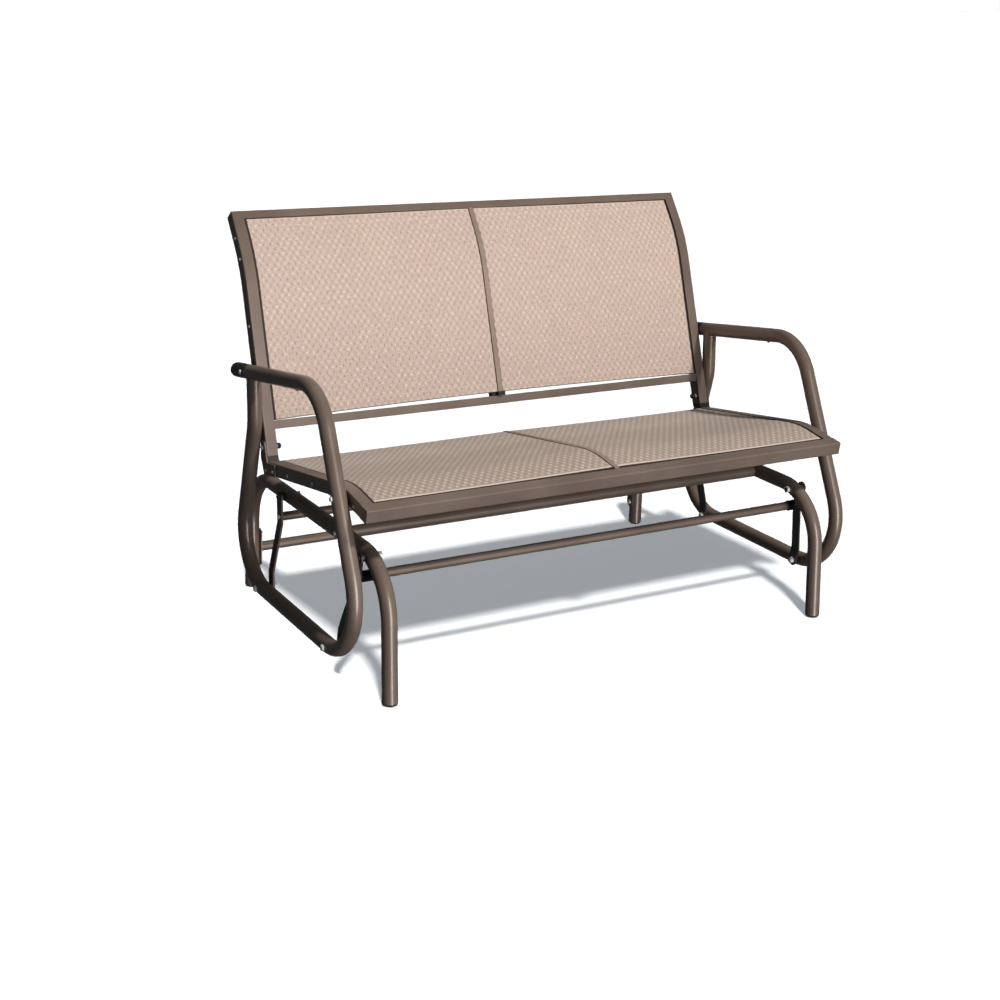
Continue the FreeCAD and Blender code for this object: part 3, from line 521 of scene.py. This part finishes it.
# Pulls in the round socket's corners between the four arms of a cross
def crossSocket(piece, radius):
    for vertex in ringAt(piece, radius):
        quarter = math.atan2(vertex.co.y, vertex.co.x) / math.radians(90) % 1
        if screw["armShare"] < quarter < 1 - screw["armShare"]:
            vertex.co.x *= screw["crossShare"]
            vertex.co.y *= screw["crossShare"]


def makeRailScrews():
    tall, half, socket = screw["tall"], screw["half"], screw["socket"]
    below = ((-screw["shank"], half * screw["tipShare"]), (-screw["shank"] * screw["tipStart"], half),
             (0, half))
    inside = ((tall, socket), (tall - screw["depth"], socket * screw["floorShare"]))
    head = crown(tall, screw["head"], screw["crown"])
    first = turned("railScrews", screw["corners"], below + head + inside)
    crossSocket(first, socket)
    places = [(screw["railFace"], y, z) for y, z in screw["rails"]]
    places += [(screw["bracketFace"], y, z) for y, z in screw["brackets"]]
    dress(repeated(first, outwards(places)), slots["rail_screws"], "glider", "rail_screws")


makeRailScrews()
print("rail screws made")

# Small plugs under the arms, where the tube drains
armPlug = {"steps": ((0.0, 0.0034), (0.0010, 0.0034), (0.0020, 0.0028), (0.0026, 0.0015)), "corners": 16,
           "x": 0.5905, "y": -0.0600, "z": 0.5667, "down": (0, 0.143, -1)}


def makeArmPlugs():
    places = [((way * armPlug["x"], armPlug["y"], armPlug["z"]), armPlug["down"]) for way in sides.values()]
    made = repeated(turned("armPlugs", armPlug["corners"], armPlug["steps"]), places)
    dress(made, "bronze_frame", "glider")


makeArmPlugs()
print("arm plugs made")


# A profile in the YZ plane: two straight runs joined by a bend, from one end to the other
class Profile:
    def __init__(self, first, corner, last, radius):
        first, corner, last = Vector(first), Vector(corner), Vector(last)
        self.first = first
        self.radius = radius
        self.heading = (corner - first).normalized()
        self.normal = Vector((-self.heading.y, self.heading.x))
        self.turn = -self.heading.angle_signed((last - corner).normalized())
        reach = radius * math.tan(abs(self.turn) / 2)
        self.runIn = (corner - first).length - reach
        self.bend = radius * abs(self.turn)
        self.length = self.runIn + self.bend + (last - corner).length - reach

    # Place and upward normal at a distance along the profile
    def at(self, distance):
        if distance <= self.runIn:
            return self.first + self.heading * distance, self.normal
        start = self.first + self.heading * self.runIn
        side = math.copysign(1, self.turn)
        angle = min(distance - self.runIn, self.bend) / self.radius
        place = start + self.heading * (self.radius * math.sin(angle)) + \
            self.normal * (side * self.radius * (1 - math.cos(angle)))
        heading = self.heading * math.cos(angle) + self.normal * (side * math.sin(angle))
        beyond = max(0.0, distance - self.runIn - self.bend)
        return place + heading * beyond, Vector((-heading.y, heading.x))


# Face lines of the seat and back rails as y and z, and how the slings lie between them: the gaps at the two
# ends, the sag, the droop of the lower outer corner, and the depth below the face at the rail and at the bar
seat = {"front": (-0.3580, 0.3993), "crest": (-0.2420, 0.4186), "rear": (0.1560, 0.3597), "bend": 0.260,
        "lowGap": 0.0355, "highGap": 0.023, "sag": 0.0035, "droop": 0.0,
        "level": 0.0012, "barLevel": -0.0018}
back = {"foot": (0.1410, 0.3730), "roll": (0.2705, 0.7665), "top": (0.3440, 0.8655), "bend": 0.360,
        "lowGap": 0.0842, "highGap": 0.021, "sag": 0.0025, "droop": 0.0075,
        "level": 0.0022, "barLevel": -0.0015}
sling = {"railEdge": 0.5520, "mouth": 0.5495, "barEdge": 0.0069, "drop": 0.0056, "dipWidth": 0.006,
         "tuck": 0.016, "tuckRadius": 0.0024, "tuckSteps": 4, "hem": 0.022, "hemRadius": 0.0018,
         "thick": 0.0011, "step": 0.012, "foldSteps": 6, "sagEnd": 0.12, "droopFade": 3, "smoothAngle": 50}
seatLine = Profile(seat["front"], seat["crest"], seat["rear"], seat["bend"])
backLine = Profile(back["foot"], back["roll"], back["top"], back["bend"])


def clamped(share):
    return min(1, max(0, share))


def eased(share):
    return share * share * (3 - 2 * share)


# Places along the sling from its front or lower edge: distance along the line, depth below the face and
# distance on the cloth. Each end is folded under as a hem
def lengthwise(low, high):
    radius, hem = sling["hemRadius"], sling["hem"]
    turn = math.pi * radius
    count = round(hem / sling["step"]) + 1
    first = [(low + hem * (1 - i / count), 2 * radius, hem * i / count) for i in range(count + 1)]
    for i in range(1, sling["foldSteps"]):
        angle = math.pi * i / sling["foldSteps"]
        first.append((low - radius * math.sin(angle), radius * (1 + math.cos(angle)), hem + radius * angle))
    count = round((high - low) / sling["step"])
    middle = [(low + (high - low) * i / count, 0.0, hem + turn + (high - low) * i / count)
              for i in range(count + 1)]
    total = 2 * (hem + turn) + high - low
    last = [(high + low - place, depth, total - cloth) for place, depth, cloth in reversed(first)]
    return first + middle + last, total


# Places across the sling, from the centre bar's groove round the tuck and out to the rail: distance from
# the middle of the bench, depth below the face and distance on the cloth
def crosswise():
    radius, edge, tuck = sling["tuckRadius"], sling["barEdge"], sling["tuck"]
    wall, steps = tuck - radius, sling["tuckSteps"]
    places = [(edge, tuck - wall * i / steps, wall * i / steps) for i in range(steps)]
    for i in range(sling["foldSteps"] + 1):
        angle = math.pi / 2 * i / sling["foldSteps"]
        places.append((edge + radius * (1 - math.cos(angle)), radius * (1 - math.sin(angle)),
                       wall + radius * angle))
    dip, mouth = sling["dipWidth"], sling["mouth"] - edge - radius
    count = round((mouth - dip) / sling["step"])
    outward = [(mouth - dip) * i / count for i in range(1, count + 1)]
    outward += [mouth - dip + dip * i / sling["foldSteps"] for i in range(1, sling["foldSteps"] + 1)]
    outward += [sling["railEdge"] - edge - radius]
    return places + [(edge + radius + reach, 0.0, wall + radius * math.pi / 2 + reach) for reach in outward]


# A stretched sling: sags a little between rail and bar, dips into the rail's groove, and the outer end of
# its lower edge droops
def makeSling(name, shape, line, way, finish, replaced):
    low, high = shape["lowGap"], line.length - shape["highGap"]
    rows, total = lengthwise(low, high)
    columns = crosswise()
    bpy.ops.mesh.primitive_grid_add(x_subdivisions=len(columns) - 1, y_subdivisions=len(rows) - 1, size=2)
    piece = freshObject(name)
    mesh = piece.data
    flat = []
    inward = []
    for vertex in mesh.vertices:
        x, dip, u = columns[round((vertex.co.x + 1) / 2 * (len(columns) - 1))]
        s, depth, v = rows[round((vertex.co.y + 1) / 2 * (len(rows) - 1))]
        outward = clamped(x / sling["railEdge"])
        onward = clamped((s - low) / (high - low))
        droop = shape["droop"] * outward ** 2 * max(0, 1 - onward * sling["droopFade"])
        place, normal = line.at(s - droop)
        middling = sling["sagEnd"] + (1 - 2 * sling["sagEnd"]) * onward
        hang = shape["sag"] * math.sin(math.pi * outward) * math.sin(math.pi * middling)
        level = shape["level"] * outward + shape["barLevel"] * (1 - outward)
        near = clamped((sling["mouth"] - x) / sling["dipWidth"])
        level += (sling["drop"] - level) * (1 - eased(near))
        place = place - normal * (level + dip + depth + hang)
        flat.append((u, v))
        inward.append((min(v, total - v) - sling["hem"] - math.pi * sling["hemRadius"], columns[-1][2] - u))
        vertex.co = (way * x, place.x, place.y)
    for layer, places in (("cloth", flat), ("hem", inward)):
        cloth = mesh.uv_layers.new(name=layer)
        for loop in mesh.loops:
            cloth.data[loop.index].uv = places[loop.vertex_index]
    if way < 0:
        mesh.flip_normals()
    thicken = piece.modifiers.new("thickness", "SOLIDIFY")
    thicken.thickness = sling["thick"]
    thicken.offset = 0
    bpy.context.view_layer.objects.active = piece
    bpy.ops.object.modifier_apply(modifier="thickness")
    bpy.ops.object.shade_smooth_by_angle(angle=math.radians(sling["smoothAngle"]))
    dress(piece, "sling_fabric", "glider", replaced, finish=finish)


for side, way in sides.items():
    small = side.lower()
    makeSling("seatSling" + side, seat, seatLine, way, "sling_fabric", "seat_sling_" + small)
    makeSling("backSling" + side, back, backLine, way, "back_fabric", "back_sling_" + small)
print("slings made")

# Studio: a pale floor in a white dome, a soft key from the front right, a far tall strip for the long
# highlights on the tubes, a low sun from behind and a dim cool room. The floor has its own key, whose
# shadows fall behind the bench, and its own fill. A push is how far a sun's light goes for 1 down
studio = {"floorSize": 170.0, "floorDrop": 0.0004, "domeRadius": 80.0, "domeCorners": 64, "domeRings": 32,
          "floorTones": ((0.80, 0.80, 0.80, 1), (0.83, 0.83, 0.83, 1)), "floorScale": 1.5,
          "floorDetail": 3.0, "floorRoughness": 0.9, "floorShine": 0.1, "wallGlow": 1.0,
          "sunHeight": 5.0, "sunAngle": 5.0, "keyStrength": 4.2, "keyPush": (-0.35, 0.62),
          "floorKey": 4.0, "floorPush": (0.27, 0.74), "floorFill": 1.25, "fillColour": (0.86, 0.93, 1.0),
          "rearFill": 1.4, "rearPush": (-1.0, -7.0), "room": (0.90, 0.94, 1.0, 1), "roomStrength": 0.075,
          "stripPower": 1150.0, "stripPlace": (0.5, -10.5, 0.5), "stripSize": (2.0, 10.0),
          "stripAim": (0.0, 0.0, 0.5)}
shading = ("base_arch", "base_upper", "seat_side", "seat_centre", "front_link")


def floorMaterial():
    material, start = newMaterial("paleFloor")
    place = start.node("ShaderNodeTexCoord", output="Object")
    drift = start.noise(place, studio["floorScale"], studio["floorDetail"])
    finishMaterial(start, {"Base Color": start.mix(drift, *studio["floorTones"]),
                           "Roughness": studio["floorRoughness"], "Specular IOR Level": studio["floorShine"]})
    return material


def wallMaterial():
    material, start = newMaterial("studioWall")
    glow = start.node("ShaderNodeEmission", {}, {"Color": (1, 1, 1, 1), "Strength": studio["wallGlow"]})
    start.node("ShaderNodeOutputMaterial", {}, {"Surface": glow})
    return material


# Seen by the camera, but not by the light rays named
def hideFrom(thing, *kinds):
    for kind in kinds:
        setattr(thing, "visible_" + kind, False)


def addLamp(kind, strength, place, aim):
    bpy.ops.object.light_add(type=kind, location=place)
    lamp = bpy.context.object
    lamp.data.energy = strength
    lamp.rotation_euler = (Vector(aim) - Vector(place)).to_track_quat("-Z", "Y").to_euler()
    lamp.visible_camera = False
    return lamp


def addSun(strength, push, receivers):
    high = studio["sunHeight"]
    sun = addLamp("SUN", strength, (0, 0, high), (push[0], push[1], high - 1))
    sun.data.angle = math.radians(studio["sunAngle"])
    sun.light_linking.receiver_collection = receivers
    return sun


def collect(name, *members):
    group = bpy.data.collections.new(name)
    for member in members:
        group.objects.link(member)
    return group


def makeStudio():
    bpy.ops.mesh.primitive_plane_add(size=studio["floorSize"], location=(0, 0, -studio["floorDrop"]))
    floor = freshObject("studioFloor")
    floor.data.materials.append(floorMaterial())
    hideFrom(floor, "diffuse", "glossy", "shadow")
    bpy.ops.mesh.primitive_uv_sphere_add(segments=studio["domeCorners"], ring_count=studio["domeRings"],
                                         radius=studio["domeRadius"])
    dome = freshObject("studioDome")
    dome.data.materials.append(wallMaterial())
    hideFrom(dome, "diffuse", "glossy", "transmission", "shadow")
    floorOnly = collect("floorOnly", floor)
    noFloor = collect("noFloor", floor)
    noFloor.collection_objects[0].light_linking.link_state = "EXCLUDE"
    key = addSun(studio["keyStrength"], studio["keyPush"], noFloor)
    key.visible_glossy = False
    shades = [piece for name, piece in nodes.items() if name.startswith(shading)]
    shades += [piece for piece in bpy.data.objects if piece.name.startswith("seatSling")]
    floorKey = addSun(studio["floorKey"], studio["floorPush"], floorOnly)
    floorKey.light_linking.blocker_collection = collect("floorShades", *shades)
    fill = addSun(studio["floorFill"], (0, 0), floorOnly)
    fill.data.color = studio["fillColour"]
    fill.data.use_shadow = False
    rearFill = addSun(studio["rearFill"], studio["rearPush"], noFloor)
    rearFill.visible_glossy = False
    strip = addLamp("AREA", studio["stripPower"], studio["stripPlace"], studio["stripAim"])
    strip.data.shape = "RECTANGLE"
    strip.data.size, strip.data.size_y = studio["stripSize"]
    strip.light_linking.receiver_collection = noFloor
    world = bpy.data.worlds.new("studioAir")
    world.use_nodes = True
    bpy.context.scene.world = world
    air = world.node_tree.nodes["Background"]
    air.inputs["Color"].default_value = studio["room"]
    air.inputs["Strength"].default_value = studio["roomStrength"]
    bpy.context.scene.view_settings.view_transform = "Standard"


makeStudio()
print("studio lit")
